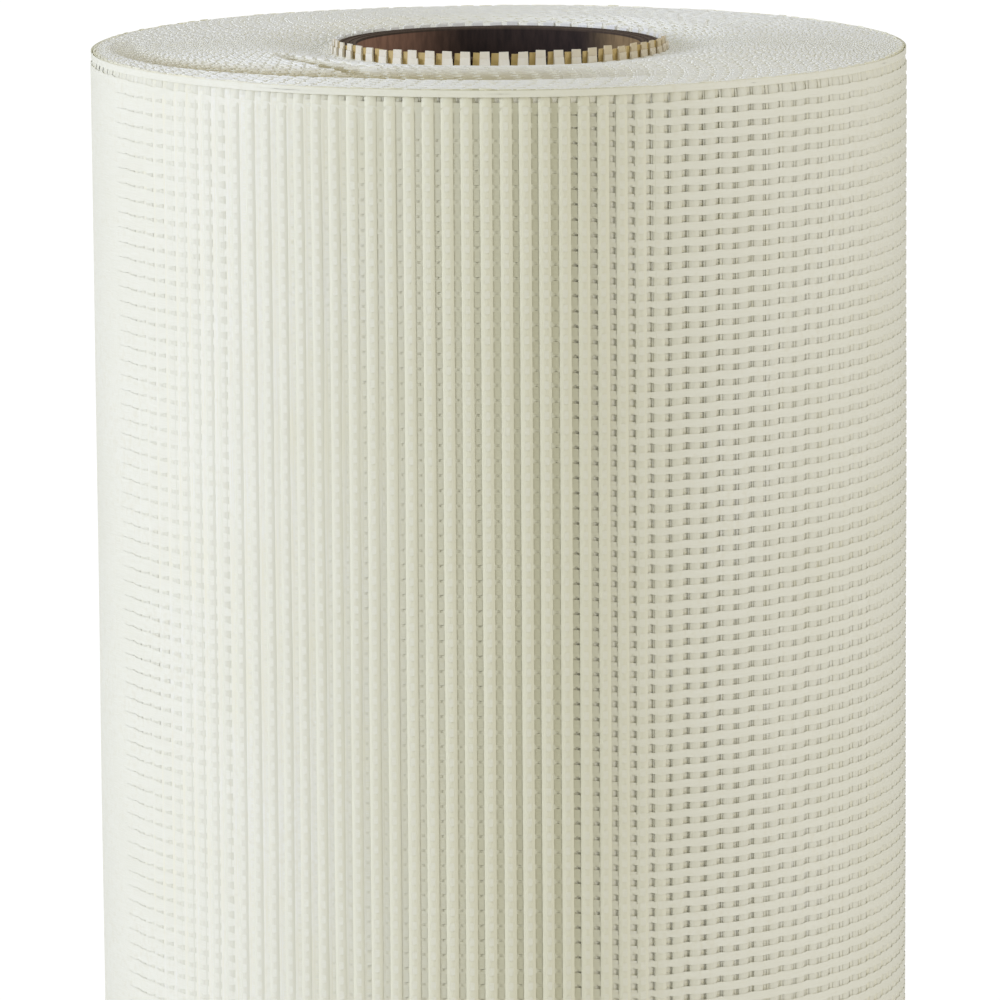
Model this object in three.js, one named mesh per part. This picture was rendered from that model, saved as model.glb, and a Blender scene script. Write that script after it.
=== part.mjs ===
// A standing roll of open glass-fibre mesh, wound on a cardboard tube.
// Units are millimetres. The roll stands on its end on Z = 0, with its axis on +Z.
// The web is one long sheet of mesh wound on itself, so it is one turned solid with a bore.
import * as THREE from 'three';

// The web: the sheet of mesh, and how much room each turn of it takes in the roll.
const WEB_WIDTH = 1000;
const WEB_LENGTH = 50000;
const TURN_THICKNESS = 0.63;

// The cardboard tube that the web is wound on. It is cut a little longer than the web is wide.
const CORE_BORE_DIAMETER = 76.2;
const CORE_WALL = 5;
const CORE_PAST_WEB = 1;
const CORE_MOUTH_CHAMFER = 0.6;

// The running gap between the tube and the first turn.
const CORE_TO_WEB_CLEARANCE = 0.3;

// The turns have slipped a little along the axis in groups, so that the inner turns stand proud at
// the top end and lie as much above the floor at the bottom end. A shallow groove parts each group.
const TURN_GROUPS = 8;
const TELESCOPE_RISE = 2.4;
const GROUP_GROOVE_WIDTH = 1.0;
const GROUP_GROOVE_DEPTH = 0.8;

// The outer turns are worn soft at both ends.
const OUTER_EDGE_RADIUS = 1.6;
const OUTER_EDGE_STEPS = 4;

const STEPS_AROUND = 72;

// Radii and lengths that follow from the sizes above. The web fills a ring whose area is its length
// times the room that one turn takes.
const coreBoreRadius = CORE_BORE_DIAMETER / 2;
const coreOuterRadius = coreBoreRadius + CORE_WALL;
const webInnerRadius = coreOuterRadius + CORE_TO_WEB_CLEARANCE;
const webOuterRadius = Math.sqrt(webInnerRadius ** 2 + (WEB_LENGTH * TURN_THICKNESS) / Math.PI);
const groupWidth = (webOuterRadius - webInnerRadius) / TURN_GROUPS;
const coreLength = WEB_WIDTH + CORE_PAST_WEB;

// How far a group of turns has slipped upwards: nothing at the outermost group, which is the last.
function slipOfGroup(group) {
  const inwards = 1 - group / (TURN_GROUPS - 1);
  return TELESCOPE_RISE * inwards;
}

// One end of the web, from the bore outwards, as points of (radius, height). Each group of turns is
// a flat land, and a V groove parts it from the next. `into` is +1 where the web lies above the end.
function endOfWeb(height, into) {
  const points = [];
  for (let group = 0; group < TURN_GROUPS; group += 1) {
    const land = height + slipOfGroup(group);
    const inner = webInnerRadius + group * groupWidth;
    const outer = inner + groupWidth;
    const isFirst = group === 0;
    const isLast = group === TURN_GROUPS - 1;
    const landStart = isFirst ? inner : inner + GROUP_GROOVE_WIDTH / 2;
    points.push(new THREE.Vector2(landStart, land));
    if (isLast) {
      points.push(...roundedOuterEdge(land, into));
    } else {
      const nextLand = height + slipOfGroup(group + 1);
      const grooveFloor = (land + nextLand) / 2 + into * GROUP_GROOVE_DEPTH;
      points.push(new THREE.Vector2(outer - GROUP_GROOVE_WIDTH / 2, land));
      points.push(new THREE.Vector2(outer, grooveFloor));
    }
  }
  return points;
}

// The quarter round from the outermost land to the outside of the roll.
function roundedOuterEdge(land, into) {
  const points = [];
  for (let step = 0; step <= OUTER_EDGE_STEPS; step += 1) {
    const angle = (step / OUTER_EDGE_STEPS) * (Math.PI / 2);
    const radius = webOuterRadius - OUTER_EDGE_RADIUS * (1 - Math.sin(angle));
    const height = land + into * OUTER_EDGE_RADIUS * (1 - Math.cos(angle));
    points.push(new THREE.Vector2(radius, height));
  }
  return points;
}

// Turns a closed outline of (radius, height) about the Z axis. The outline runs anticlockwise.
function turned(outline) {
  const geometry = new THREE.LatheGeometry([...outline, outline[0].clone()], STEPS_AROUND);
  return geometry.rotateX(Math.PI / 2);
}

function makeWeb() {
  const bottom = endOfWeb(0, 1);
  const top = endOfWeb(WEB_WIDTH, -1).reverse();
  const meshFinish = new THREE.MeshStandardMaterial({ color: 0xd9d6c4, roughness: 0.62, metalness: 0 });
  const web = new THREE.Mesh(turned([...bottom, ...top]), meshFinish);
  web.name = 'mesh_web';
  return web;
}

function makeCoreTube() {
  const outline = [
    new THREE.Vector2(coreBoreRadius + CORE_MOUTH_CHAMFER, 0),
    new THREE.Vector2(coreOuterRadius, 0),
    new THREE.Vector2(coreOuterRadius, coreLength),
    new THREE.Vector2(coreBoreRadius + CORE_MOUTH_CHAMFER, coreLength),
    new THREE.Vector2(coreBoreRadius, coreLength - CORE_MOUTH_CHAMFER),
    new THREE.Vector2(coreBoreRadius, CORE_MOUTH_CHAMFER),
  ];
  const cardboard = new THREE.MeshStandardMaterial({ color: 0x7a5a45, roughness: 0.85, metalness: 0 });
  const core = new THREE.Mesh(turned(outline), cardboard);
  core.name = 'core_tube';
  return core;
}

const meshRoll = new THREE.Group();
meshRoll.name = 'mesh_roll';
meshRoll.add(makeWeb(), makeCoreTube());

export default meshRoll;
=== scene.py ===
# %% [markdown]
# A roll of glass-fibre render mesh stands on its end. On the real object it is one web of open
# mesh, a metre wide and 50 metres long, wound about a hundred times round a cardboard tube.
# The frame holds two plain solids in its place: the wound web and the tube. Every piece below is
# fitted to their boxes, so this first step loads them and reads their sizes.

import math

import bpy
import numpy as np
from mathutils import Matrix, Vector


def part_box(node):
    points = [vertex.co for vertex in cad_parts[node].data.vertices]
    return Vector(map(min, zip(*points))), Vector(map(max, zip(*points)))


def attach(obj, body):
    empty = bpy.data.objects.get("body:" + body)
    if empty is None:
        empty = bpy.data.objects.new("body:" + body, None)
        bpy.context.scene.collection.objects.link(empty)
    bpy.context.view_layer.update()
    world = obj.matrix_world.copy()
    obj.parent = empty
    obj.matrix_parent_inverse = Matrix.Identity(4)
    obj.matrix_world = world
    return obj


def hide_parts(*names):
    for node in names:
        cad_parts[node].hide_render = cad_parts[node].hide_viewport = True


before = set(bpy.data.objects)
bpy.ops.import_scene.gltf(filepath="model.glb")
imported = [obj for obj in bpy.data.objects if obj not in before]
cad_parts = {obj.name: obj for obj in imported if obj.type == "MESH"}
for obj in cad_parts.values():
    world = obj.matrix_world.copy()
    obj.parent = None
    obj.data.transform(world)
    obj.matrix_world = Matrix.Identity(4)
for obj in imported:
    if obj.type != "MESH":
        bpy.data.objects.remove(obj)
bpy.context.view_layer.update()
MM = 0.001
WEB_WIDTH = 1000 * MM
WEB_LENGTH = 50000 * MM
web_top_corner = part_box("mesh_web")[1]
tube_top_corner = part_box("core_tube")[1]
roll_radius = web_top_corner.x
crown_rise = web_top_corner.z - WEB_WIDTH
tube_radius = tube_top_corner.x
tube_top = tube_top_corner.z
CORE_TO_WEB = 0.3 * MM
bore_edge = tube_radius + CORE_TO_WEB
print("roll radius", round(roll_radius / MM, 2), "mm, crown", round(crown_rise / MM, 2), "mm")

# %% [markdown]
# Places on a roll are easiest to say as an azimuth, a radius and a height. Azimuth 0 faces the
# camera, a quarter turn is the roll's right side and half a turn is its back. The alternative,
# modelling a flat web and bending it with a modifier, would cost a modifier for every turn.

# %% Azimuth, radius and height
def on_roll(azimuth, radius, height):
    """Points in the frame for arrays of azimuth, radius and height."""
    azimuth, radius, height = np.broadcast_arrays(azimuth, radius, height)
    return np.stack([radius * np.sin(azimuth), -radius * np.cos(azimuth), height], axis=-1)


def rise(value, low, high):
    """A smooth step from 0 at low to 1 at high."""
    share = np.clip((value - low) / (high - low), 0, 1)
    return share * share * (3 - 2 * share)


def between(azimuth, degrees):
    """1 between the inner two of four azimuths in degrees, and 0 outside the outer two."""
    first, second, third, fourth = np.radians(degrees)
    return rise(azimuth, first, second) * (1 - rise(azimuth, third, fourth))


# %% [markdown]
# The web is a spiral. Its pitch is a little finer in each turn inwards, so that a turn holds two
# weft yarns more than the turn outside it. The yarns of all turns then line up at one azimuth, right
# of the middle in the photograph, and drift apart to both sides, which closes the openings and
# makes the smooth flanks. A stack of equal rings would show the same openings all round. The turns
# also nest, yarn in opening, so they lie closer together than they are thick.

# %% The wound web as a spiral
class Spiral:
    """A wound web that runs clockwise inwards, seen from above."""

    def __init__(self, start_azimuth, start_radius, turn_room):
        self.start_azimuth = start_azimuth
        self.start_radius = start_radius
        self.turn_room = turn_room

    def turned(self, length):
        """The angle that the web has turned through after a length of it."""
        root = np.sqrt(self.start_radius**2 - self.turn_room * length / math.pi)
        return (self.start_radius - root) * math.tau / self.turn_room

    def length(self, turned):
        """The length of web up to an angle turned through."""
        return self.start_radius * turned - self.turn_room * turned**2 / (2 * math.tau)

    def radius(self, turned):
        """The radius at an angle turned through."""
        return self.start_radius - self.turn_room * turned / math.tau

    def azimuth(self, turned):
        """Where on the roll the web lies at an angle turned through."""
        return self.start_azimuth - turned % math.tau


FREE_END_AT = math.pi
REAL_TURNS = 3
NESTED_ROOM = 0.30 * MM
YARN_HALF_THICKNESS = 0.50 * MM
outer_web = Spiral(FREE_END_AT, roll_radius - YARN_HALF_THICKNESS, NESTED_ROOM)

# %% [markdown]
# The wefts are numbered from the web's free end inwards. How many of them a number of turns holds
# is a simple curve, and its inverse places a weft.

# %% Places of the weft yarns
LINED_UP_AT = math.radians(22)
WEFTS_TO_LINE_UP = 137
MORE_WEFTS_A_TURN = 2
turns_to_line = (FREE_END_AT - LINED_UP_AT) / math.tau
first_rate = WEFTS_TO_LINE_UP - MORE_WEFTS_A_TURN * (turns_to_line + 0.5)
weft_pitch = math.tau * outer_web.start_radius / WEFTS_TO_LINE_UP


def wefts_after(turns):
    """How many wefts the web holds after some turns. It works on numbers and on shader values."""
    return turns * (turns * (MORE_WEFTS_A_TURN / 2) + first_rate)


def turned_at(number):
    """The angle that the web has turned through at a weft."""
    root = np.sqrt(first_rate**2 + 2 * MORE_WEFTS_A_TURN * number)
    return math.tau * (root - first_rate) / MORE_WEFTS_A_TURN


print("weft pitch", round(weft_pitch / MM, 3), "mm,", round(wefts_after(REAL_TURNS)), "outer wefts")

# %% [markdown]
# The inner turns are wound tighter. Their room a turn follows from the web's length: what the
# outer turns leave of the 50 metres fills the ring between them and the tube.

# %% The inner turns
LAST_TURN_OFF_BORE = 0.2 * MM
outer_length = outer_web.length(REAL_TURNS * math.tau)
inner_length = WEB_LENGTH - outer_length
inner_start_radius = outer_web.radius(REAL_TURNS * math.tau)
inner_ring_area = math.pi * (inner_start_radius**2 - (bore_edge + LAST_TURN_OFF_BORE) ** 2)
inner_web = Spiral(FREE_END_AT, inner_start_radius, inner_ring_area / inner_length)
inner_turns = inner_web.turned(inner_length) / math.tau
print("inner turns", round(inner_turns, 1), "at", round(inner_web.turn_room / MM, 3), "mm")

# %% [markdown]
# Woven yarn is never quite straight and a wound roll is never quite round. A few long sine waves
# with seeded phases give smooth wander that neighbouring yarns share, which plain random numbers
# would not.

# %% Wander of the yarns and the roll
rng = np.random.default_rng(11)


WAVE_REACH = 1.6


class Waves:
    """Smooth, repeatable unevenness over two lengths, about -1 to 1."""

    def __init__(self, count, shortest, longest):
        lengths = np.geomspace(longest, shortest, count)
        headings = rng.uniform(0, math.pi, count)
        self.along = math.tau * np.cos(headings) / lengths
        self.across = math.tau * np.sin(headings) / lengths
        self.phase = rng.uniform(0, math.tau, count)
        self.size = lengths**0.5 / (lengths**0.5).sum() * WAVE_REACH

    def __call__(self, first, second):
        first, second = np.broadcast_arrays(first, second)
        total = np.zeros(first.shape)
        for along, across, phase, size in zip(self.along, self.across, self.phase, self.size):
            total += size * np.sin(along * first + across * second + phase)
        return total


weft_wander = Waves(9, 28 * MM, 420 * MM)
warp_wander = Waves(9, 35 * MM, 600 * MM)
slack = Waves(7, 90 * MM, 500 * MM)
OUT_OF_ROUND = 0.22 * MM


def roll_bulge(azimuth, height):
    """How far the roll bulges at a place, the same for all the turns there."""
    to_right = roll_radius * np.sin(azimuth)
    to_back = -roll_radius * np.cos(azimuth)
    return OUT_OF_ROUND * slack(to_right, height + to_back)


# %% [markdown]
# The two ends of the roll are not flat. The turns have slipped along the axis, so that they rise
# inwards and fall again close to the bore, where the last turns' tips stand up as a toothed lip. At
# the top the photograph shows two creases that start at the left and meet near the front. Their
# inner flank is gentle and their outer one is steep, because the outer turns stand up there. One
# function gives the height of the yarn tips, and all the pieces use it. The alternative, pushing
# each piece down by itself, would open gaps between the pieces.

# %% Height of the yarn tips at the ends
CREASE_DEPTH = 1.5 * MM
STEEP_FLANK = 3.5 * MM
SLIP_OF_TURNS = 0.2 * MM
LOWEST_TIP = 0.05 * MM
CROWN_FALL = 1.3
CROWN_FALLS_BETWEEN = (0.6, 0.96)
SLIP_TO_SIDE = 20 * MM
# A crease is rows of (azimuth in degrees, share of the roll's radius, share of the depth, and the
# width of its gentle inner flank in millimetres).
OUTER_CREASE = [
    (-104, 0.94, 0, 3),
    (-82, 0.91, 0.45, 4),
    (-62, 0.875, 0.75, 7),
    (-40, 0.83, 0.95, 12),
    (-20, 0.79, 1, 16),
    (4, 0.78, 0.8, 16),
    (18, 0.79, 0.35, 14),
    (34, 0.80, 0, 12),
]
INNER_CREASE = [
    (-64, 0.58, 0, 2),
    (-56, 0.60, 0.8, 2),
    (-45, 0.62, 1, 4),
    (-33, 0.675, 1, 5),
    (-22, 0.74, 0.7, 5),
    (-10, 0.78, 0, 3),
]
end_slip = Waves(8, 9 * MM, 120 * MM)


def crease_share(azimuth, radius):
    """How far the creases sink the yarn tips at a place on the top, from 0 to 1."""
    deepest = 0
    turned = np.degrees(azimuth)
    for crease in (OUTER_CREASE, INNER_CREASE):
        degrees, shares, depths, flanks = np.array(crease, float).T
        from_middle = radius - np.interp(turned, degrees, shares) * roll_radius
        flank = np.interp(turned, degrees, flanks) * MM
        depth = np.interp(turned, degrees, depths, left=0, right=0)
        width = np.where(from_middle < 0, flank, STEEP_FLANK)
        deepest = np.maximum(deepest, depth * np.exp(-((from_middle / width) ** 4)))
    return deepest


def crown(radius):
    """The rise of the turns inwards, and their fall close to the bore."""
    inwards = np.clip((roll_radius - radius) / (roll_radius - bore_edge), 0, 1)
    return crown_rise * inwards * (1 - CROWN_FALL * rise(inwards, *CROWN_FALLS_BETWEEN))


def top_tips(azimuth, radius):
    """Height of the yarn tips at the top end, without their own unevenness."""
    sunk = CREASE_DEPTH * crease_share(azimuth, radius)
    slip = SLIP_OF_TURNS * end_slip(radius, azimuth * SLIP_TO_SIDE)
    return WEB_WIDTH + crown(radius) + slip - sunk


def bottom_tips(azimuth, radius):
    """Height of the yarn tips at the bottom end. Its slip comes from another part of the waves."""
    slip = SLIP_OF_TURNS * end_slip(radius + 1, azimuth * SLIP_TO_SIDE)
    return np.maximum(crown(radius) + slip, LOWEST_TIP)


# %% [markdown]
# Each yarn is a tube with a small outline swept along its stations. The faces of all yarns of one
# kind are worked out in one go with arrays, because thousands of curve objects with bevels would
# be slow and couldn't be flattened where the yarns cross.

# %% Sweep yarns into meshes
def yarn_faces(yarns, stations, corners, capped=True):
    """Faces round yarns whose points run corner by corner, station by station, yarn by yarn."""
    yarn, station, corner = np.meshgrid(
        np.arange(yarns), np.arange(stations - 1), np.arange(corners), indexing="ij"
    )
    here = (yarn * stations + station) * corners
    beside = (corner + 1) % corners
    above = here + corners
    sides = np.stack([here + corner, here + beside, above + beside, above + corner], -1)
    faces = sides.reshape(-1, 4).tolist()
    if capped:
        first = np.arange(yarns)[:, None] * stations * corners
        start = first + np.arange(corners)[::-1]
        end = first + (stations - 1) * corners + np.arange(corners)
        faces += start.tolist() + end.tolist()
    return faces


def sweep(azimuth, radius, height, across, outward, upward):
    """Points of yarns from their centre lines, of shape (yarns, stations), and their outline."""
    radius = radius[..., None] + outward
    azimuth = azimuth[..., None] + across / radius
    height = np.maximum(height[..., None] + upward, 0)
    return on_roll(azimuth, radius, height).reshape(-1, 3)


SHARP_ANGLE = math.radians(50)


def make_piece(name, points, faces):
    """A mesh piece that rides on the roll's one body."""
    mesh = bpy.data.meshes.new(name)
    mesh.from_pydata(points.tolist(), [], faces)
    mesh.update()
    mesh.shade_smooth()
    mesh.set_sharp_from_angle(angle=SHARP_ANGLE)
    piece = bpy.data.objects.new(name, mesh)
    bpy.context.scene.collection.objects.link(piece)
    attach(piece, "root")
    triangles = sum(len(face.vertices) - 2 for face in mesh.polygons)
    print(name, "has", triangles, "triangles")
    return piece


def paint(piece, shares):
    """Keeps a number at each point of a piece under a name, for its material to read."""
    for name, values in shares.items():
        piece.data.attributes.new(name, "FLOAT", "POINT").data.foreach_set("value", values)


# %% [markdown]
# The weft yarns run along the axis. They are flat rovings a little over half as wide as their pitch,
# and they end in cut tips just past the last warp. The outermost turn shows most, so its rovings
# get the rounder outline and more stations, and the two turns behind it get plainer and wider ones.

# %% Weft yarns of the outer turns
WEFT_WIDTH = 3.1 * MM
INNER_WEFT_WIDTH = 3.5 * MM
WEFT_THICKNESS = 0.50 * MM
TIP_LEAN = 0.55 * MM
WEFT_DRIFT = 0.2 * MM
OWN_STRAY = 0.07 * MM
STRAYS_DRAWN = 1000
UNEVEN_TIPS = 0.12 * MM
NEAR_TIP = np.array([0, 1.4, 3.2, 6.0]) * MM
PLAIN_FROM = 14 * MM
LEAN_REACH = 5 * MM
END_REACH = 100 * MM
# Outlines of a roving, in shares of its width across and of its thickness outwards.
ROUND_WEFT = [(-0.5, -0.15), (-0.3, 0.42), (0, 0.58), (0.3, 0.42), (0.5, -0.15), (0, -0.42)]
PLAIN_WEFT = [(-0.5, -0.1), (0, 0.55), (0.5, -0.1), (0, -0.42)]


def weft_numbers(turn):
    """Which wefts lie on a turn, counted from the web's free end."""
    first = math.ceil(wefts_after(turn) - 0.5)
    last = math.ceil(wefts_after(turn + 1) - 0.5)
    return np.arange(first, last) + 0.5


def weft_drift(number, height):
    """How far a weft strays to the side along its length, with its neighbours."""
    return WEFT_DRIFT * weft_wander(number * weft_pitch, height)


own_stray = rng.normal(0, OWN_STRAY, STRAYS_DRAWN)


def make_wefts(turn, outline, stations):
    """All the wefts of one turn, from tip to tip."""
    numbers = weft_numbers(turn)
    turned = turned_at(numbers)[:, None]
    azimuth = outer_web.azimuth(turned)
    radius = outer_web.radius(turned)
    middle = np.linspace(PLAIN_FROM, WEB_WIDTH - PLAIN_FROM, stations - 2 * len(NEAR_TIP))
    height = np.concatenate([NEAR_TIP, middle, (WEB_WIDTH - NEAR_TIP)[::-1]])[None, :]
    drift = weft_drift(numbers[:, None], height) + own_stray[numbers.astype(int)][:, None]
    at_low = 1 - rise(height, 0, LEAN_REACH)
    at_high = rise(height, WEB_WIDTH - LEAN_REACH, WEB_WIDTH)
    lean = TIP_LEAN * (at_low + at_high)
    radius = radius + roll_bulge(azimuth, height) - lean
    azimuth = azimuth + drift / radius
    uneven = rng.normal(0, UNEVEN_TIPS, (2, len(numbers), 1))
    top = top_tips(azimuth[:, -1:], radius[:, -1:]) + uneven[0] - WEB_WIDTH
    low = np.maximum(bottom_tips(azimuth[:, :1], radius[:, :1]) + uneven[1], 0)
    share_of_top = rise(height, WEB_WIDTH - END_REACH, WEB_WIDTH)
    share_of_low = 1 - rise(height, 0, END_REACH)
    height = height + top * share_of_top + low * share_of_low
    across, outward = np.array(outline).T
    width = WEFT_WIDTH if turn == 0 else INNER_WEFT_WIDTH
    points = sweep(azimuth, radius, height, across * width, outward * WEFT_THICKNESS, 0)
    faces = yarn_faces(len(numbers), stations, len(outline))
    return points, faces


wefts = []
for turn, outline, stations in [(0, ROUND_WEFT, 44), (1, PLAIN_WEFT, 26), (2, PLAIN_WEFT, 26)]:
    points, faces = make_wefts(turn, outline, stations)
    wefts.append(make_piece(f"wefts_turn_{turn + 1}", points, faces))

# %% [markdown]
# The warp yarns run round the roll in pairs. One of each pair climbs over every weft, which gives
# the bright beads on the ribs, and dips between two wefts. In the outermost turn the strand is
# modelled at each crossing. Near both ends the warps are closer together, as a selvedge. At the left
# of the photograph the second turn's rows lie half a row off, so that no opening is seen through.

# %% Heights of the warp lines
WARP_PITCH = 3.92 * MM
WARP_STRAY = 0.13 * MM
ODD_TURN_SHIFT = 0.25 * MM
# Azimuths in degrees between which the half row is lost, and distances from the ends where a slip
# grows.
ROW_STEP = (0, 24)
SLIP_GROWS = (2 * MM, 14 * MM)
A_HAIR = 1e-9
SELVEDGE = np.array([0.6, 1.4]) * MM
plain_width = WEB_WIDTH - 2 * SELVEDGE[-1]
plain_cells = round(plain_width / WARP_PITCH)
plain_lines = SELVEDGE[-1] + plain_width / plain_cells * np.arange(1, plain_cells)
warp_lines = np.concatenate([SELVEDGE, plain_lines, (WEB_WIDTH - SELVEDGE)[::-1]])
print(len(warp_lines), "warp lines,", round(plain_width / plain_cells / MM, 3), "mm apart")


def from_ends(height):
    """Distance to the nearer end of the roll."""
    return np.minimum(height, WEB_WIDTH - height)


def row_slip(line, turned):
    """How far the rows of a turn lie off those of the outermost one, but for the selvedges."""
    azimuth = outer_web.azimuth(turned)
    is_odd = np.floor(turned / math.tau + A_HAIR) % 2
    half_row = 0.5 * WARP_PITCH * (1 - rise(azimuth, *np.radians(ROW_STEP)))
    return is_odd * (half_row + ODD_TURN_SHIFT) * rise(from_ends(line), *SLIP_GROWS)


def warp_height(line, turned):
    """The height of a warp line where the web has turned through an angle."""
    slip = row_slip(line, turned)
    stray = WARP_STRAY * warp_wander(outer_web.length(turned), line)
    at_top = top_tips(outer_web.azimuth(turned), outer_web.radius(turned)) - WEB_WIDTH
    return line + slip + stray + at_top * rise(line, WEB_WIDTH - END_REACH, WEB_WIDTH)


# %% [markdown]
# A strand has two stations to a cell: its crest on the weft, where the weft pushes it out and
# flattens it, and its dip in the middle of the opening, where it twists past its partner and so
# lies alternately a little high and a little low. In the photograph the grooves between the ribs
# run on unbroken at the middle and left, where the strands are twisted thin and lie deep. At the
# right they break up into square openings, where the strands lie flat and wide, and at the far left
# they close, so that the flank is smooth.

# %% Warp strands of the outermost turn
CREST_LIFT = 0.38 * MM
EDGE_LIFT = 0.24 * MM
CREST_WIDTH = 2.3 * MM
DEEP_DIP = 0.58 * MM
FLAT_DIP = 0.06 * MM
THIN_STRAND = 0.8 * MM
WIDE_STRAND = 2.3 * MM
CLOSED_STRAND = 4.05 * MM
EDGE_WIDTH = 0.95 * MM
STRAND_THICKNESS = 0.36 * MM
TWIST_SHIFT = 0.12 * MM
# The outline of a flat strand: half widths along the axis, then thicknesses outwards.
FLAT_STRAND = np.array([(-1, 1, 0), (0.3, 0.3, -0.6)])
# Azimuths in degrees between which the strands lie flat, and between which they are closed.
FLAT_PART = (14, 30, 110, 150)
CLOSED_PART = (-140, -110, -74, -30)


def make_strands(lines):
    """Warp strands over the wefts of the outermost turn, for some of the warp lines."""
    numbers = weft_numbers(0)
    steps = np.arange(numbers[0] - 0.5, numbers[-1] + 0.6, 0.5)
    crest = np.isclose(steps % 1, 0.5)[None, :]
    turned = turned_at(steps)[None, :]
    height = warp_height(lines[:, None], turned)
    at_edge = (from_ends(lines) < SELVEDGE[-1] + 0.1 * MM)[:, None]
    twist = TWIST_SHIFT * np.where(steps % 2 < 1, 1, -1)
    height = height + np.where(crest | at_edge, 0, twist)
    azimuth = outer_web.azimuth(turned)
    radius = outer_web.radius(turned) + roll_bulge(azimuth, height)
    flat = between(azimuth, FLAT_PART)
    closed = between(azimuth, CLOSED_PART)
    lift = np.where(at_edge, EDGE_LIFT, CREST_LIFT)
    plain_dip = DEEP_DIP + np.maximum(flat, closed) * (FLAT_DIP - DEEP_DIP)
    dip = np.where(at_edge, -0.9 * EDGE_LIFT, plain_dip)
    radius = radius + np.where(crest, lift, -dip)
    azimuth = azimuth + weft_drift(steps[None, :], height) / radius
    crest_width = CREST_WIDTH + (CLOSED_STRAND - CREST_WIDTH) * closed
    dip_width = THIN_STRAND + (WIDE_STRAND - THIN_STRAND) * flat
    dip_width = dip_width + (CLOSED_STRAND - THIN_STRAND) * closed
    width = np.where(at_edge, EDGE_WIDTH, np.where(crest, crest_width, dip_width))
    upward = width[..., None] / 2 * FLAT_STRAND[0]
    outward = STRAND_THICKNESS * FLAT_STRAND[1]
    points = sweep(azimuth, radius, height, 0, outward, upward)
    # How far a strand dips between wefts, which also sets how much painted groove shade its finish
    # puts on it.
    dipped = np.broadcast_to(np.where(crest | at_edge, 0, 1 - flat), height.shape)
    return points, yarn_faces(len(lines), len(steps), 3), np.repeat(dipped, 3)


strands = []
for share, lines in zip(["low", "middle", "high"], np.array_split(warp_lines, 3)):
    points, faces, dipped = make_strands(lines)
    strand_piece = make_piece(f"warps_turn_1_{share}", points, faces)
    paint(strand_piece, {"dipped": dipped})
    strands.append(strand_piece)

# %% [markdown]
# Behind the outermost turn only slivers of the warps show through the openings, so in the second
# turn each pair is one flat band round the roll. The bands lie flat and wide at the middle and the
# left, where the photograph shows unbroken grooves. The third turn's are drawn on the wound body.

# %% Warp bands of the second turn
BAND_STATIONS = 96
BAND_WIDTH = 1.1 * MM
WIDE_BAND = 3.3 * MM
WIDE_PART = (-130, -100, 6, 24)
NARROW_AT_ENDS = (1.6 * MM, 3 * MM)


def make_bands(turn):
    """The warp pairs of a turn as flat bands."""
    turned = np.linspace(turn, turn + 1, BAND_STATIONS + 1)[None, :] * math.tau
    height = warp_height(warp_lines[:, None], turned)
    azimuth = FREE_END_AT - (turned - turn * math.tau)
    radius = outer_web.radius(turned) + roll_bulge(azimuth, height)
    wide = between(azimuth, WIDE_PART) * rise(from_ends(warp_lines), *NARROW_AT_ENDS)[:, None]
    width = BAND_WIDTH + (WIDE_BAND - BAND_WIDTH) * wide
    upward = width[..., None] / 2 * FLAT_STRAND[0]
    outward = STRAND_THICKNESS * FLAT_STRAND[1]
    points = sweep(azimuth, radius, height, 0, outward, upward)
    return points, yarn_faces(len(warp_lines), BAND_STATIONS + 1, 3)


points, faces = make_bands(1)
bands = make_piece("warps_turn_2", points, faces)

# %% [markdown]
# The hundred turns inside these three are one body. Its side lies in the third turn, whose wefts
# stand out of it as ribs, and its two ends follow the tips a little lower down, where the last warps
# of the real web are. A hundred real turns would be some fifty times as many triangles.

# %% The wound body inside
TIP_LENGTH = 0.2 * MM
BODY_COLUMNS = 144
END_RINGS = 48
SIDE_ROWS = 30
BORE_ROWS = 10
SIDE_SUNK = 0.08 * MM


def body_profile(azimuth):
    """One column of the body, from the bore at the bottom, out, up and back to the bore."""
    side = outer_web.radius((REAL_TURNS - 1) * math.tau + FREE_END_AT - azimuth) - SIDE_SUNK
    radii = np.linspace(bore_edge, side, END_RINGS)
    low = bottom_tips(azimuth, radii) + TIP_LENGTH
    high = top_tips(azimuth, radii) - TIP_LENGTH
    wall = np.linspace(low[-1], high[-1], SIDE_ROWS)[1:-1]
    bulge = roll_bulge(azimuth, wall)
    bore_wall = np.linspace(high[0], low[0], BORE_ROWS + 2)[1:-1]
    radius = np.concatenate([radii, side + bulge, radii[::-1], np.full(BORE_ROWS, bore_edge)])
    height = np.concatenate([low, wall, high[::-1], bore_wall])
    return on_roll(azimuth, radius, height)


columns = FREE_END_AT - np.linspace(0, math.tau, BODY_COLUMNS + 1)
body_points = np.array([body_profile(azimuth) for azimuth in columns])
body_corners = body_points.shape[1]
body_faces = yarn_faces(1, BODY_COLUMNS + 1, body_corners)
wound_body = make_piece("wound_turns", body_points.reshape(-1, 3), body_faces)

# %% [markdown]
# Each weft of the inner turns ends in a cut tip that stands out of the wound body. There are about
# ten thousand at an end, in their true places on the spiral, so that the tips of neighbouring
# turns fall in and out of step as they do on a real roll. The tips of the last three turns stand up
# as a toothed lip, higher at the front, with the innermost turn's tips in the gaps. The lip's tips
# are painted tan: painted shade at the front, where the gaps between them lie in shade, and painted
# light at the right, where the key light falls on them. A bump map would lose that toothed edge,
# which the photograph shows.

# %% Cut tips of the wefts
TIP_WIDTH = 3.3 * MM
TIP_THICKNESS = 0.58 * MM
TIP_ROOT = 0.8 * MM
LIP_TIP_WIDTH = 2.9 * MM
LIP_RISE = 3.7 * MM
BACK_LIP_RISE = 2.7 * MM
TIP_STRAY = 0.16 * MM
TIP_JITTER = 0.03 * MM
UNEVEN_LIP = 5
TIP_TAPER = 0.86
TIP_THINNING = 0.8
FRONT_RAMP = (-0.15, 0.2)
RIGHT_RAMP = (0.3, 0.7)
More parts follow.
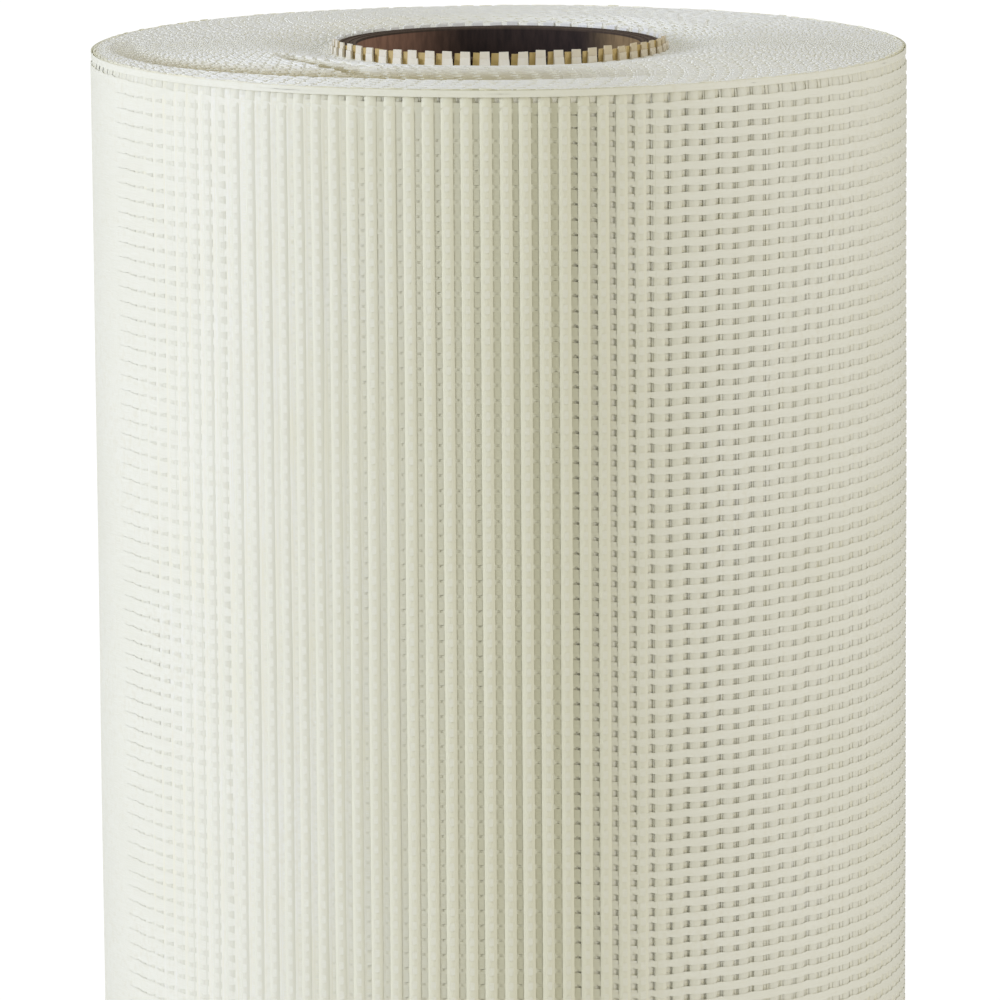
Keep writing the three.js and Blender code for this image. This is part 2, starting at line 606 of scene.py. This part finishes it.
# How much of the lip's rise, and of its painted tan shade and light, a tip takes by the turns that
# are left to the bore.
RISE_OF_LIP = [(0.9, 0.86), (1.1, 1), (1.9, 1), (2.1, 0.5), (2.9, 0.5), (3.1, 0)]
LIP_TAN_PAINT_BY_TURNS = [(0.9, 1), (1.1, 0.36), (1.9, 0.36), (2.1, 0.28), (3, 0.28), (3.1, 0)]


def tip_faces(count, direction):
    """The four sides and the cut end of each tip, which has four root points and four end points."""
    start = np.arange(count)[:, None] * 8
    sides = [start + np.array([n, (n + 1) % 4, (n + 1) % 4 + 4, n + 4]) for n in range(4)]
    faces = np.concatenate(sides + [start + np.array([4, 5, 6, 7])])
    if direction > 0:
        faces = faces[:, ::-1]
    return faces.tolist()


def make_tips(tip_height, direction, seed):
    """The tips on one end. direction is 1 at the top and -1 at the bottom."""
    spread = np.random.default_rng(seed)
    count = int(inner_length / weft_pitch)
    turned = inner_web.turned((np.arange(count) + 0.5) * weft_pitch)
    radius = inner_web.radius(turned) + spread.normal(0, TIP_JITTER, count)
    azimuth = inner_web.azimuth(turned)
    azimuth = azimuth + spread.normal(0, TIP_STRAY, count) / radius
    end = tip_height(azimuth, radius)
    root = end - direction * (TIP_LENGTH + TIP_ROOT)
    turns_left = (turned[-1] - turned) / math.tau
    at_front = rise(np.cos(azimuth), *FRONT_RAMP)
    at_right = rise(np.sin(azimuth), *RIGHT_RAMP)
    proud = BACK_LIP_RISE + (LIP_RISE - BACK_LIP_RISE) * at_front
    proud = proud * np.interp(turns_left, *np.transpose(RISE_OF_LIP))
    end = end + proud * (direction > 0)
    length = spread.normal(0, TIP_JITTER, count) * np.where(turns_left < 3, UNEVEN_LIP, 1)
    slant = spread.normal(0, TIP_JITTER, count)
    lean = spread.normal(0, TIP_JITTER, (2, count))
    third_turn = (turns_left > 2) & (turns_left < 3)
    azimuth = azimuth + np.where(third_turn, 0.5 * weft_pitch / radius, 0)
    tip_width = np.where((turns_left > 1) & (turns_left < 3), LIP_TIP_WIDTH, TIP_WIDTH)
    corners = [(-0.5, -0.5), (0.5, -0.5), (0.5, 0.5), (-0.5, 0.5)]
    points = np.zeros((count, 2, 4, 3))
    for number, (across, outward) in enumerate(corners):
        width = across * tip_width
        depth = outward * TIP_THICKNESS
        points[:, 0, number] = on_roll(azimuth + width / radius, radius + depth, root)
        high = np.maximum(end + length + slant * across * 2, 0)
        side = azimuth + (width * TIP_TAPER + lean[0]) / radius
        points[:, 1, number] = on_roll(side, radius + depth * TIP_THINNING + lean[1], high)
    # Painted shade: this share paints the tips in the creases olive.
    crease_shade = crease_share(azimuth, radius) * (direction > 0)
    lip_tan_paint = np.interp(turns_left, *np.transpose(LIP_TAN_PAINT_BY_TURNS))
    # Painted tan on the lip: painted shade at the front and painted light at the right.
    lip_tan_paint = lip_tan_paint * at_front * (1 + at_right * (turns_left > 1))
    shades = {"crease_shade": np.repeat(crease_shade, 8), "lip_tan_paint": np.repeat(lip_tan_paint, 8)}
    return points.reshape(-1, 3), tip_faces(count, direction), shades


tips = []
ends = [("tips_top", top_tips, 1, 3), ("tips_bottom", bottom_tips, -1, 4)]
for name, tip_height, direction, seed in ends:
    points, faces, shades = make_tips(tip_height, direction, seed)
    tip_piece = make_piece(name, points, faces)
    tip_piece.data.shade_flat()
    paint(tip_piece, shades)
    tips.append(tip_piece)

# %% [markdown]
# The core is a tube of wound kraft board. Its cut ends show the plies as fine rings and are a
# little uneven from the saw, so its outline has a small step at each ply. Rings in the material
# alone would leave the rim a perfect circle.

# %% Core tube
TUBE_WALL = 5 * MM
PLIES = 5
PLY_STEP = 0.16 * MM
SAW_STEP = 0.1 * MM
PLY_EDGE = 0.12 * MM
WORN_CORNER = 0.45 * MM
WORN_PLY = 0.06 * MM
TUBE_COLUMNS = 120
TUBE_BORE_ROWS = 13
saw_mark = Waves(6, 12 * MM, 150 * MM)


def tube_end(azimuth, cut, into):
    """The board's cut end from the bore out, as (radius, height). into is 1 at the bottom end."""
    places = []
    for ply in range(PLIES):
        inner = tube_radius - TUBE_WALL * (1 - ply / PLIES)
        outer = tube_radius - TUBE_WALL * (1 - (ply + 1) / PLIES)
        saw = saw_mark(azimuth * tube_radius, inner * 3).clip(0)
        step = PLY_STEP * (ply % 2) + SAW_STEP * saw
        is_first = ply == 0
        is_last = ply == PLIES - 1
        worn = WORN_CORNER if is_first or is_last else WORN_PLY
        groove = PLY_EDGE * 0.3
        places.append((inner + (0 if is_first else groove), cut + into * (step + worn * is_first)))
        places.append((inner + PLY_EDGE, cut + into * step))
        places.append((outer - PLY_EDGE, cut + into * step))
        places.append((outer - (0 if is_last else groove), cut + into * (step + worn)))
    return places


def tube_profile(azimuth):
    """One column of the tube: bottom end, outside, top end and bore."""
    bottom = tube_end(azimuth, 0, 1)
    top = tube_end(azimuth, tube_top, -1)[::-1]
    shares = [n / (TUBE_BORE_ROWS + 1) for n in range(1, TUBE_BORE_ROWS + 1)]
    bore_wall = [(tube_radius - TUBE_WALL, tube_top * (1 - share)) for share in shares]
    outline = np.array(bottom + top + bore_wall)
    return on_roll(azimuth, outline[:, 0], outline[:, 1])


tube_columns = np.linspace(math.pi, -math.pi, TUBE_COLUMNS + 1)[:-1]
tube_points = np.array([tube_profile(azimuth) for azimuth in tube_columns])
tube_corners = tube_points.shape[1]
tube_faces = yarn_faces(1, TUBE_COLUMNS, tube_corners, capped=False)
last_column = (TUBE_COLUMNS - 1) * tube_corners
for n in range(tube_corners):
    beside = (n + 1) % tube_corners
    tube_faces.append([last_column + n, last_column + beside, beside, n])
board_tube = make_piece("core_board", tube_points.reshape(-1, 3), tube_faces)

# %% [markdown]
# The frame's two plain solids would hide the yarns, so both are hidden, and the pieces of the web
# and the tube are seen in their place.

# %% Replace the plain solids
for piece in wefts + strands + tips + [bands, wound_body]:
    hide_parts("mesh_web")
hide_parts("core_tube")

# %% [markdown]
# Finishes are written as sums. A small class wraps a socket, so that + and * on it add Math nodes,
# and one method adds any other node. The node editor would do the same by hand, but a written sum
# can be read and changed in one place.

# %% A small class for finishes
class Value:
    """A socket with a number in it. Arithmetic on it adds Math nodes."""

    def __init__(self, finish, socket):
        self.finish = finish
        self.socket = socket

    def maths(self, operation, *numbers):
        inputs = dict(enumerate(numbers))
        return self.finish.node("ShaderNodeMath", {"operation": operation}, inputs)

    def __add__(self, other):
        return self.maths("ADD", self, other)

    def __radd__(self, other):
        return self.maths("ADD", other, self)

    def __sub__(self, other):
        return self.maths("SUBTRACT", self, other)

    def __rsub__(self, other):
        return self.maths("SUBTRACT", other, self)

    def __mul__(self, other):
        return self.maths("MULTIPLY", self, other)

    def __rmul__(self, other):
        return self.maths("MULTIPLY", other, self)

    def __truediv__(self, other):
        return self.maths("DIVIDE", self, other)

    def __pow__(self, other):
        return self.maths("POWER", self, other)

    def wave(self):
        """Distance from the nearest whole number, 0 to 0.5."""
        return self.maths("PINGPONG", self, 0.5)

    def smooth(self, low, high):
        """A smooth step from 0 at low to 1 at high."""
        settings = {"interpolation_type": "SMOOTHSTEP"}
        inputs = {"Value": self, "From Min": low, "From Max": high}
        return self.finish.node("ShaderNodeMapRange", settings, inputs)


class Finish:
    """A material and its nodes."""

    def __init__(self, name):
        self.material = bpy.data.materials.new(name)
        self.material.use_nodes = True
        self.tree = self.material.node_tree
        self.shader = self.tree.nodes["Principled BSDF"]
        place = self.node("ShaderNodeTexCoord", {}, {}, "Object")
        self.x = self.node("ShaderNodeSeparateXYZ", {}, {0: place}, "X")
        self.y = self.node("ShaderNodeSeparateXYZ", {}, {0: place}, "Y")
        self.z = self.node("ShaderNodeSeparateXYZ", {}, {0: place}, "Z")

    def node(self, kind, settings, inputs, output=0):
        """Adds a node and gives back one of its outputs."""
        made = self.tree.nodes.new(kind)
        for key, value in settings.items():
            setattr(made, key, value)
        for key, value in inputs.items():
            self.feed(made.inputs[key], value)
        return Value(self, made.outputs[output])

    def feed(self, socket, value):
        """Links a value to a socket, or writes a number or colour into it."""
        if isinstance(value, Value):
            self.tree.links.new(value.socket, socket)
        else:
            socket.default_value = value

    def set(self, **values):
        """Feeds the shader's own sockets, named with _ for a space."""
        for name, value in values.items():
            self.feed(self.shader.inputs[name.replace("_", " ")], value)

    def base_colour(self):
        """What feeds the base colour so far."""
        return Value(self, self.shader.inputs["Base Color"].links[0].from_socket)

    def painted(self, name):
        """The numbers that the points of a piece hold under a name."""
        return self.node("ShaderNodeAttribute", {"attribute_name": name}, {}, "Fac")

    def from_axis(self):
        """Distance from the roll's axis."""
        return (self.x * self.x + self.y * self.y) ** 0.5

    def azimuth(self):
        """Azimuth as on_roll has it, from minus half a turn to half a turn."""
        return self.x.maths("ARCTAN2", self.x, 0 - self.y)

    def colours(self, share, first, second):
        """A mix of two colours."""
        inputs = {0: share, 6: first, 7: second}
        return self.node("ShaderNodeMix", {"data_type": "RGBA"}, inputs, 2)

    def noise(self, x, y, z, detail=3.0, roughness=0.55):
        """Noise at a point whose coordinates are numbers or values. Its mean is about a half."""
        point = self.node("ShaderNodeCombineXYZ", {}, {0: x, 1: y, 2: z})
        inputs = {"Vector": point, "Scale": 1.0, "Detail": detail, "Roughness": roughness}
        return self.node("ShaderNodeTexNoise", {}, inputs, "Fac")

    def even_noise(self, scale, detail):
        """Noise that is as fine in every direction."""
        return self.noise(self.x * scale, self.y * scale, self.z * scale, detail)

    def bump(self, height, strength, distance):
        """Relief for the shader's normal."""
        inputs = {"Height": height, "Strength": strength, "Distance": distance}
        return self.node("ShaderNodeBump", {}, inputs)

    def dress(self, *pieces):
        """Puts the finish on some pieces."""
        for piece in pieces:
            piece.data.materials.append(self.material)


# %% [markdown]
# Glass yarn is a bundle of fine filaments in a cream resin. Close up it has streaks along its
# length, a satin shine and small changes of tone where the resin is thicker. Weft and warp differ
# only in which way the streaks run, so one function makes both. The photograph is bluish white at
# the left, where the key light falls, and warmer at the middle, with olive grooves, so masks across
# the roll's front mix in a warmer colour at the middle and a deeper olive in the grooves as painted
# shade. Coloured lights alone would tint the background too.

# %% Resin-coated glass yarn
CREAM = (0.770, 0.752, 0.590, 1)
PALE = (0.825, 0.812, 0.660, 1)
BEAD_CREAM = (0.825, 0.808, 0.645, 1)
BEAD_PALE = (0.868, 0.855, 0.705, 1)
INNER_PALE = (0.880, 0.870, 0.750, 1)
CUT_CREAM = (0.850, 0.845, 0.760, 1)
CUT_PALE = (0.880, 0.880, 0.830, 1)
HONEY = (0.790, 0.760, 0.580, 1)
DEEP_HONEY = (0.850, 0.820, 0.610, 1)
TAN = (0.500, 0.370, 0.140, 1)
OLIVE = (0.480, 0.420, 0.230, 1)
DEEP_OLIVE = (0.590, 0.568, 0.375, 1)
WARM = (0.790, 0.765, 0.540, 1)
PATCHES_A_METRE = 26
BEADS_A_METRE = 640
# Streaks a metre, first across the roll and then along it.
ALONG_THE_ROLL = (5200, 90)
ROUND_THE_ROLL = (160, 5200)
CUT_ENDS = (3000, 300)
CUT_BEADS = 300


def glass_yarn(name, streaks_a_metre, tone_low, tone_high, beads_a_metre=BEADS_A_METRE):
    """Glass yarn with streaks, which show which way it runs, and beads of resin."""
    finish = Finish(name)
    side, height = streaks_a_metre
    streaks = finish.noise(finish.x * side, finish.y * side, finish.z * height, 2.0)
    patches = finish.even_noise(PATCHES_A_METRE, 4.0)
    beads = finish.even_noise(beads_a_metre, 1.0)
    tone = (streaks * 0.55 + patches * 0.45).smooth(0.32, 0.68)
    colour = finish.colours(tone, tone_low, tone_high)
    resin = (beads * 0.6 + patches * 0.4).smooth(0.50, 0.72) * 0.5
    finish.set(Base_Color=finish.colours(resin, colour, HONEY))
    finish.set(Roughness=0.62 - 0.22 * streaks)
    finish.set(Normal=finish.bump(streaks + beads * 0.5, 0.35, 0.12 * MM))
    finish.set(Specular_IOR_Level=0.35)
    return finish


def paint_shade_on_the_ends(finish):
    """Paints shade onto the ends: olive in the creases, and tan on the lip's tips at the bore as
    painted shade at the front and painted light at the right.
    """
    colour = finish.colours(finish.painted("crease_shade"), finish.base_colour(), OLIVE)
    finish.set(Base_Color=finish.colours(finish.painted("lip_tan_paint"), colour, TAN))


# Ramps from the left and from the right across the roll's front, in shares of its radius, for the
# painted shade.
WARM_SHADE_PART = [(-0.75, -0.05), (0.62, 0.18)]
GROOVE_SHADE_PART = [(-0.72, 0.18), (0.42, 0.12)]


def in_the_middle(finish, part):
    """1 at the middle of the roll's front, fading to both sides, and 0 at its back."""
    from_left, from_right = part
    across = finish.x / roll_radius
    in_front = (0 - finish.y).smooth(0, 20 * MM)
    return across.smooth(*from_left) * across.smooth(*from_right) * in_front


def paint_warm_shade_middle(finish, strength):
    """Painted shade: the outermost turn is painted yellower at the middle of the roll's front, where
    the key light falls less, and is left whiter at the left.
    """
    share = in_the_middle(finish, WARM_SHADE_PART) * strength
    finish.set(Base_Color=finish.colours(share, finish.base_colour(), WARM))


def paint_groove_shade(finish, strength=1.0):
    """Painted shade: what lies in the grooves is painted a deeper olive at the middle of the roll's
    front.
    """
    share = in_the_middle(finish, GROOVE_SHADE_PART) * strength
    finish.set(Base_Color=finish.colours(share, finish.base_colour(), DEEP_OLIVE))


weft_yarn = glass_yarn("glass yarn along the roll", ALONG_THE_ROLL, CREAM, PALE)
warp_yarn = glass_yarn("glass yarn round the roll", ROUND_THE_ROLL, BEAD_CREAM, BEAD_PALE)
inner_weft_yarn = glass_yarn("inner yarn along the roll", ALONG_THE_ROLL, DEEP_HONEY, INNER_PALE)
inner_warp_yarn = glass_yarn("inner yarn round the roll", ROUND_THE_ROLL, DEEP_HONEY, INNER_PALE)
cut_yarn = glass_yarn("cut ends of glass yarn", CUT_ENDS, CUT_CREAM, CUT_PALE, CUT_BEADS)
paint_shade_on_the_ends(cut_yarn)
# Painted shade: a warmer colour at the middle of the roll's front.
paint_warm_shade_middle(weft_yarn, 0.75)
paint_warm_shade_middle(warp_yarn, 0.4)
# Painted shade: a deeper olive in the grooves, on the strands by how far they dip.
paint_groove_shade(warp_yarn, warp_yarn.painted("dipped").smooth(0.15, 0.75) * 0.85)
paint_groove_shade(inner_weft_yarn)
paint_groove_shade(inner_warp_yarn)
weft_yarn.dress(wefts[0])
inner_weft_yarn.dress(*wefts[1:])
inner_warp_yarn.dress(bands)
warp_yarn.dress(*strands)
cut_yarn.dress(*tips)

# %% [markdown]
# On the wound body the warps of the third turn and the mesh of the two turns below it go on as a
# pattern. Its wefts are counted with the same sum as the modelled ones, so that the drift between
# the turns carries on behind them. On the two ends the turns show as fine rings. Modelling these
# turns too would cost thousands of yarns for what shows through openings two millimetres wide.

# %% Finish of the wound body
SHADED_HOLE = (0.84, 0.81, 0.60, 1)
DEEP_YARN = (0.87, 0.845, 0.66, 1)
LIT_YARN = (0.86, 0.84, 0.67, 1)
END_SHADE = (0.80, 0.785, 0.66, 1)
# Where a pattern cell changes from opening to yarn, counted in cells.
WEFT_EDGE = (0.22 - 0.05, 0.22 + 0.05)
WARP_EDGE = (0.5 - 0.14, 0.5 - 0.20)
SIDE_REACH = (1.6 * MM, 1.3 * MM)


def mesh_mask(finish, turn, half_row):
    """1 on the yarns of a turn and 0 in its openings. A half_row of 1 shifts its rows by half."""
    turned = (turn * math.tau + FREE_END_AT) - finish.azimuth()
    weft = wefts_after(turned / math.tau).wave().smooth(*WEFT_EDGE)
    row = finish.z / (plain_width / plain_cells) + 0.5 * half_row
    warp = row.wave().smooth(*WARP_EDGE)
    return weft.maths("MAXIMUM", weft, 1 - warp)


def wound_finish():
    """The wound turns: a pattern of mesh on the side and fine rings on the ends."""
    finish = Finish("wound glass mesh")
    third = mesh_mask(finish, 2, 0)
    fourth = mesh_mask(finish, 3, 1)
    fifth = mesh_mask(finish, 4, 0)
    below = finish.colours(fifth, SHADED_HOLE, DEEP_YARN)
    behind = finish.colours(fourth, below, DEEP_YARN)
    side = finish.colours(third, behind, LIT_YARN)
    distance = finish.from_axis()
    turns = (inner_web.start_radius - distance) / inner_web.turn_room
    turns = turns + finish.azimuth() / math.tau
    ring = turns.wave().smooth(0.10, 0.42)
    fibres = finish.even_noise(900, 3.0)
    end_tone = ring * 0.6 + fibres * 0.5
    end = finish.colours(end_tone.smooth(0.2, 0.9), END_SHADE, LIT_YARN)
    is_side = distance.smooth(inner_start_radius - SIDE_REACH[0], inner_start_radius - SIDE_REACH[1])
    finish.set(Base_Color=finish.colours(is_side, end, side))
    relief = is_side * third + (1 - is_side) * end_tone
    finish.set(Normal=finish.bump(relief, 0.8, 0.35 * MM))
    finish.set(Roughness=0.6 + 0.2 * fibres)
    finish.set(Specular_IOR_Level=0.3)
    return finish


wound_finish().dress(wound_body)

# %% [markdown]
# Kraft board is matt and brown, with short paper fibres and the slanting seams of the strips it is
# wound from. The photograph shows the bore dark at the middle, redder at the left and tanner at the
# right. The board is painted very dark as shade in the bore, and two masks across it mix in a redder
# colour at the left and a tanner one at the right as painted light. The cut ends are paler and show
# the plies.

# %% Kraft board
# Very dark board colours as painted shade in the bore, and redder and tanner ones as painted light.
KRAFT = (0.036, 0.022, 0.017, 1)
KRAFT_PALE = (0.100, 0.068, 0.044, 1)
KRAFT_SEAM = (0.050, 0.034, 0.024, 1)
LIT_KRAFT_RED = (0.330, 0.180, 0.112, 1)
KRAFT_DARK = (0.013, 0.009, 0.008, 1)
LIT_KRAFT_TAN = (0.420, 0.290, 0.140, 1)
STRIP_RISE = 210 * MM
LIT_RED_FROM = (6 * MM, 34 * MM)
LIT_TAN_FROM = (22 * MM, 36 * MM)
CUT_REACH = (0.7 * MM, 0.5 * MM)


def kraft_finish():
    """Brown board with seams and paler cut ends, painted very dark as shade in the bore and with
    painted light at its left and right.
    """
    finish = Finish("kraft board")
    seam = (finish.z / STRIP_RISE + finish.azimuth() / math.tau).wave()
    seam_line = 1 - seam.smooth(0.0, 0.006)
    fibres = finish.noise(finish.x * 700, finish.y * 700, finish.z * 180, 4.0)
    stains = finish.noise(finish.x * 22, finish.y * 22, finish.z * 14, 4.0)
    tone = (fibres * 0.6 + stains * 0.5).smooth(0.35, 0.75)
    board = finish.colours(tone, KRAFT_DARK, KRAFT)
    # Painted light: a redder colour on the left of the bore's wall.
    lit_at_left = (0 - finish.x).smooth(*LIT_RED_FROM) * (0.55 + 0.45 * tone)
    board = finish.colours(lit_at_left, board, LIT_KRAFT_RED)
    # Painted light: a tanner colour on the right of the bore's wall.
    lit_at_right = finish.x.smooth(*LIT_TAN_FROM) * (0.45 + 0.35 * tone)
    board = finish.colours(lit_at_right, board, LIT_KRAFT_TAN)
    board = finish.colours(seam_line * 0.7, board, KRAFT_DARK)
    plies = ((finish.from_axis() - (tube_radius - TUBE_WALL)) / (TUBE_WALL / PLIES)).wave()
    cut = finish.colours((plies + fibres * 0.4).smooth(0.1, 0.5), KRAFT_SEAM, KRAFT_PALE)
    above_middle = finish.z - tube_top / 2
    from_middle = above_middle.maths("ABSOLUTE", above_middle)
    at_end = from_middle.smooth(tube_top / 2 - CUT_REACH[0], tube_top / 2 - CUT_REACH[1])
    finish.set(Base_Color=finish.colours(at_end, board, cut))
    finish.set(Roughness=0.92 - 0.15 * fibres)
    finish.set(Normal=finish.bump(fibres - seam_line * 0.8, 0.4, 0.25 * MM))
    finish.set(Specular_IOR_Level=0.25)
    return finish


kraft_finish().dress(board_tube)
print(len(bpy.data.materials), "finishes")

# %% [markdown]
# The photograph was taken on white. A wide pale floor carries the roll, and the white world beyond
# its edge is the background. The camera sees the world brighter than the world lights the roll,
# so that the background stays white and the mesh keeps its tones.

# %% Floor and world
FLOOR_RADIUS = 2.8
FLOOR_SIDES = 96
FLOOR_GREY = (0.86, 0.86, 0.86, 1)
FLOOR_PALE = (0.90, 0.90, 0.89, 1)


def make_floor():
    """A wide disc that only carries the roll and catches its shadow."""
    corners = np.linspace(0, math.tau, FLOOR_SIDES, endpoint=False)
    points = on_roll(corners, FLOOR_RADIUS, 0)
    mesh = bpy.data.meshes.new("floor")
    mesh.from_pydata(points.tolist(), [], [list(range(FLOOR_SIDES))])
    floor = bpy.data.objects.new("floor", mesh)
    bpy.context.scene.collection.objects.link(floor)
    finish = Finish("pale floor")
    grain = finish.noise(finish.x * 30, finish.y * 30, finish.z, 4.0)
    finish.set(Base_Color=finish.colours(grain, FLOOR_GREY, FLOOR_PALE))
    finish.set(Roughness=0.85)
    finish.dress(floor)
    return floor


WORLD_LIGHT = 0.40
WORLD_SEEN = 1.05
WORLD_COLOUR = (1.0, 0.995, 0.98, 1)
WHITE = (1, 1, 1, 1)


def make_world():
    """White surroundings that light the roll less than they look."""
    world = bpy.data.worlds.new("white surroundings")
    bpy.context.scene.world = world
    world.use_nodes = True
    nodes = world.node_tree.nodes
    links = world.node_tree.links
    light = nodes["Background"]
    light.inputs["Color"].default_value = WORLD_COLOUR
    light.inputs["Strength"].default_value = WORLD_LIGHT
    seen = nodes.new("ShaderNodeBackground")
    seen.inputs["Color"].default_value = WHITE
    seen.inputs["Strength"].default_value = WORLD_SEEN
    rays = nodes.new("ShaderNodeLightPath")
    mix = nodes.new("ShaderNodeMixShader")
    links.new(rays.outputs["Is Camera Ray"], mix.inputs["Fac"])
    links.new(light.outputs[0], mix.inputs[1])
    links.new(seen.outputs[0], mix.inputs[2])
    links.new(mix.outputs[0], nodes["World Output"].inputs["Surface"])


make_floor()
make_world()
print("floor", FLOOR_RADIUS * 2, "m across")
bpy.context.scene.view_settings.view_transform = "Standard"

# %% [markdown]
# The main light is low at the left, so that the left flank is bright and smooth and each rib shades
# the groove beside it at the middle. A weaker one at the right shows the openings there, and one
# overhead lights the cut tips. All three are low or weak enough that the bore stays dark.

# %% Lights
AIMED_AT = Vector((0, 0, WEB_WIDTH * 0.85))


def make_light(name, azimuth, elevation, distance, size, power, colour):
    """An area light that points at the upper part of the roll."""
    lift = math.radians(elevation)
    direction = Vector(on_roll(math.radians(azimuth), math.cos(lift), math.sin(lift)))
    lamp = bpy.data.lights.new(name, "AREA")
    lamp.shape = "DISK"
    lamp.size = size
    lamp.energy = power
    lamp.color = colour
    light = bpy.data.objects.new(name, lamp)
    light.location = AIMED_AT + direction * distance
    light.rotation_euler = direction.to_track_quat("Z", "Y").to_euler()
    bpy.context.scene.collection.objects.link(light)
    return light


make_light("key", -70, 16, 2.4, 0.9, 31, (0.92, 0.98, 1.22))
make_light("fill", 62, 12, 2.6, 1.2, 20.5, (1.0, 0.98, 1.04))
make_light("overhead", -20, 78, 2.2, 1.4, 11, (0.98, 1.0, 1.04))
print(len(bpy.data.lights), "lights")

# %% [markdown]
# The camera stands where the photographer's did: about 2.1 metres away and 23 centimetres above
# the top, with a long lens that takes in the upper quarter of the roll. The distances are shares
# of the roll's radius that were fitted to the rim and the bore in the photograph.

# %% Camera
CAMERA_DISTANCE = 19.7
CAMERA_ABOVE_TOP = 2.08
LENS = 290.6
SENSOR_WIDTH = 36
PITCH_DOWN = 9.25
ROLL_TURN = 0.36
CAMERA_TO_LEFT = 0.4 * MM
camera_data = bpy.data.cameras.new("camera")
camera_data.lens = LENS
camera_data.sensor_width = SENSOR_WIDTH
camera = bpy.data.objects.new("camera", camera_data)
camera_height = WEB_WIDTH + CAMERA_ABOVE_TOP * roll_radius
camera.location = (-CAMERA_TO_LEFT, -CAMERA_DISTANCE * roll_radius, camera_height)
tilt = Matrix.Rotation(math.radians(90 - PITCH_DOWN), 4, "X")
roll_of_camera = Matrix.Rotation(math.radians(-ROLL_TURN), 4, "Z")
camera.rotation_euler = (tilt @ roll_of_camera).to_euler()
bpy.context.scene.collection.objects.link(camera)
bpy.context.scene.camera = camera
print("camera at", [round(value, 3) for value in camera.location])
